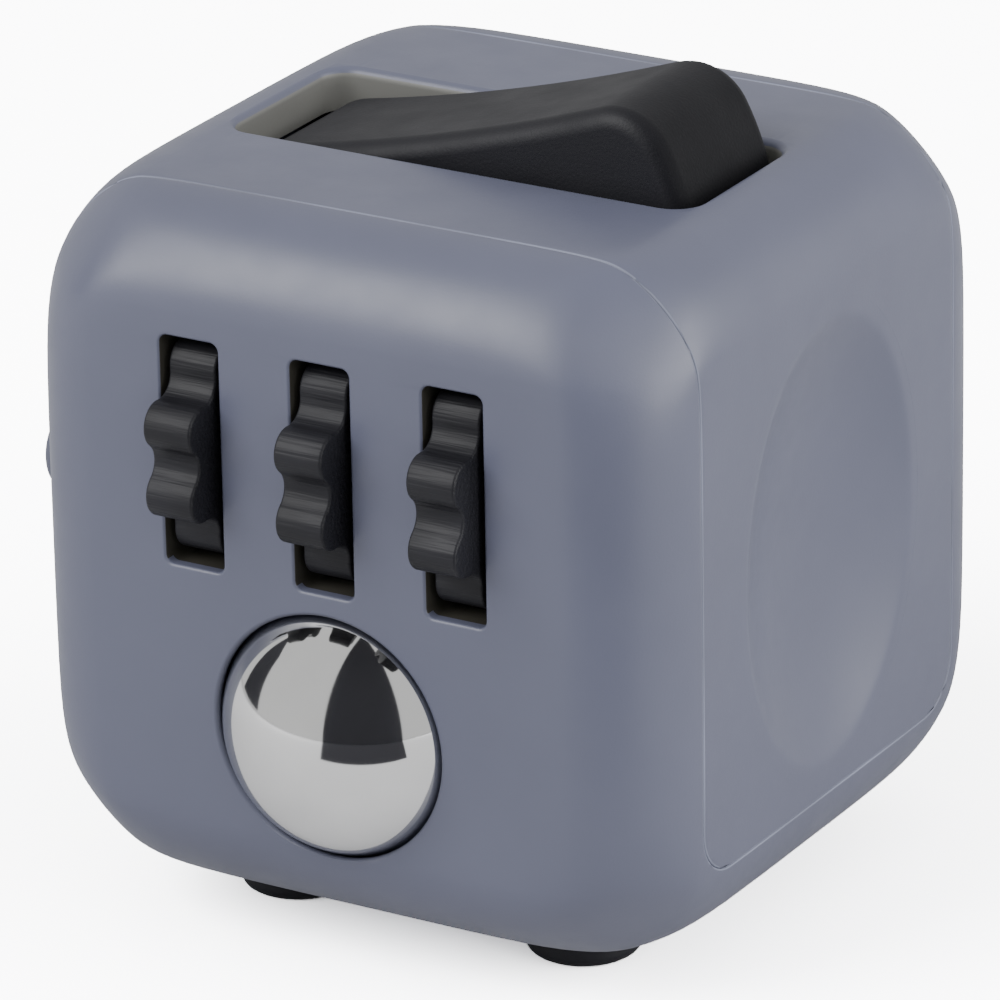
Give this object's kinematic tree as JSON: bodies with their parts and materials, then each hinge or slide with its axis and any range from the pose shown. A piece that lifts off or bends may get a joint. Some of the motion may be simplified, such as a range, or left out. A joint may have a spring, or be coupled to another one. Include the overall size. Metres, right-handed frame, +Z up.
{
  "type": "fidget cube",
  "caption": "Pocket fidget cube in a two-shell casing, with click wheels and a steel ball, rocker, push buttons, dial, joystick and thumb dish.",
  "frame": {"origin": "under the centre button's foot, on the surface the cube stands on", "axes": "+Z up through the rocker; the wheels and ball face -Y, the thumb dish +X, the dial -X and the joystick +Y"},
  "size_m": [0.0368, 0.039, 0.0392],
  "materials": {
    "shell_plastic": "satin moulded plastic, fine texture",
    "trim_plastic": "matt moulded plastic, fine grain",
    "wheel_plastic": "moulded plastic with fine turned lines",
    "polished_steel": "polished",
    "steel": "drawn or stamped steel",
    "frame_plastic": "natural moulded acetal",
    "spring_bronze": "rolled spring bronze",
    "silicone": "soft silicone"
  },
  "bodies": {
    "casing": {"cradle_shell": "shell_plastic", "cap_shell": "shell_plastic", "wheel_axle": "steel", "wheel_bracket": "frame_plastic", "wheel_click_spring": "spring_bronze", "wheel_bracket_screws": "steel", "ball_spring": "steel", "ball_guide": "frame_plastic", "ball_end_cap": "frame_plastic", "ball_click_dome": "steel", "ball_guide_screws": "steel", "rocker_pin": "steel", "rocker_frame": "frame_plastic", "rocker_spring": "steel", "rocker_frame_screws": "steel", "spring_centre": "steel", "spring_front_left": "steel", "spring_front_right": "steel", "spring_back_left": "steel", "spring_back_right": "steel", "button_plate": "frame_plastic", "click_domes": "steel", "silent_pads": "silicone", "button_plate_screws": "steel", "dial_click_spring": "spring_bronze", "dial_spring_screw": "steel", "joystick_base": "frame_plastic", "slide_springs": "steel", "joystick_base_screws": "steel"},
    "wheel_left": {"wheel_left": "wheel_plastic"},
    "wheel_middle": {"wheel_middle": "wheel_plastic"},
    "wheel_right": {"wheel_right": "wheel_plastic"},
    "ball_cup": {"ball_cup": "frame_plastic"},
    "ball": {"steel_ball": "polished_steel"},
    "rocker": {"rocker": "trim_plastic"},
    "rocker_plunger": {"rocker_plunger": "spring_bronze"},
    "dial": {"dial": "shell_plastic", "dial_click_wheel": "frame_plastic", "dial_screw": "steel"},
    "joystick_slider": {"joystick_slider": "frame_plastic", "lift_springs": "steel"},
    "joystick": {"joystick_stem": "trim_plastic", "joystick_cap": "trim_plastic"},
    "button_centre": {"button_centre": "trim_plastic"},
    "button_front_left": {"button_front_left": "trim_plastic"},
    "button_front_right": {"button_front_right": "trim_plastic"},
    "button_back_left": {"button_back_left": "trim_plastic"},
    "button_back_right": {"button_back_right": "trim_plastic"}
  },
  "joints": [
    {"name": "wheel_left_spin", "type": "hinge", "parent": "casing", "child": "wheel_left", "pos_m": [-0.00675, -0.0135, 0.0246], "axis": [1, 0, 0], "continuous": true},
    {"name": "wheel_middle_spin", "type": "hinge", "parent": "casing", "child": "wheel_middle", "pos_m": [0, -0.0135, 0.0246], "axis": [1, 0, 0], "continuous": true},
    {"name": "wheel_right_spin", "type": "hinge", "parent": "casing", "child": "wheel_right", "pos_m": [0.00675, -0.0135, 0.0246], "axis": [1, 0, 0], "continuous": true},
    {"name": "ball_press", "type": "slide", "parent": "casing", "child": "ball_cup", "axis": [0, 1, 0], "range_m": [0, 0.0008], "stiffness_N_per_m": 1500, "springref_m": -0.0006, "deforming": ["ball_spring"]},
    {"name": "ball_roll", "type": "hinge", "parent": "ball_cup", "child": "ball", "pos_m": [0, -0.0134, 0.01228], "axis": [1, 0, 0], "continuous": true},
    {"name": "rocker_flip", "type": "hinge", "parent": "casing", "child": "rocker", "pos_m": [0, 0, 0.032], "axis": [0, 1, 0], "range_deg": [0, 30]},
    {"name": "rocker_plunger_slide", "type": "slide", "parent": "casing", "child": "rocker_plunger", "axis": [0, 0, -1], "range_m": [0, 0.0005], "stiffness_N_per_m": 300, "springref_m": -0.0005, "deforming": ["rocker_spring"]},
    {"name": "button_centre_press", "type": "slide", "parent": "casing", "child": "button_centre", "axis": [0, 0, 1], "range_m": [0, 0.0012], "stiffness_N_per_m": 1500, "springref_m": -0.0006, "deforming": ["spring_centre"]},
    {"name": "button_front_left_press", "type": "slide", "parent": "casing", "child": "button_front_left", "axis": [0, 0, 1], "range_m": [0, 0.0012], "stiffness_N_per_m": 1500, "springref_m": -0.0006, "deforming": ["spring_front_left"]},
    {"name": "button_front_right_press", "type": "slide", "parent": "casing", "child": "button_front_right", "axis": [0, 0, 1], "range_m": [0, 0.0012], "stiffness_N_per_m": 1500, "springref_m": -0.0006, "deforming": ["spring_front_right"]},
    {"name": "button_back_left_press", "type": "slide", "parent": "casing", "child": "button_back_left", "axis": [0, 0, 1], "range_m": [0, 0.0012], "stiffness_N_per_m": 1500, "springref_m": -0.0006, "deforming": ["spring_back_left"]},
    {"name": "button_back_right_press", "type": "slide", "parent": "casing", "child": "button_back_right", "axis": [0, 0, 1], "range_m": [0, 0.0012], "stiffness_N_per_m": 1500, "springref_m": -0.0006, "deforming": ["spring_back_right"]},
    {"name": "dial_turn", "type": "hinge", "parent": "casing", "child": "dial", "pos_m": [-0.0165, 0, 0.019], "axis": [1, 0, 0], "continuous": true},
    {"name": "joystick_glide_x", "type": "slide", "parent": "casing", "child": "joystick_slider", "axis": [1, 0, 0], "range_m": [-0.0015, 0.0015], "stiffness_N_per_m": 400, "deforming": ["slide_springs"]},
    {"name": "joystick_glide_z", "type": "slide", "parent": "joystick_slider", "child": "joystick", "axis": [0, 0, 1], "range_m": [-0.0015, 0.0015], "stiffness_N_per_m": 400, "deforming": ["lift_springs"]}
  ]
}
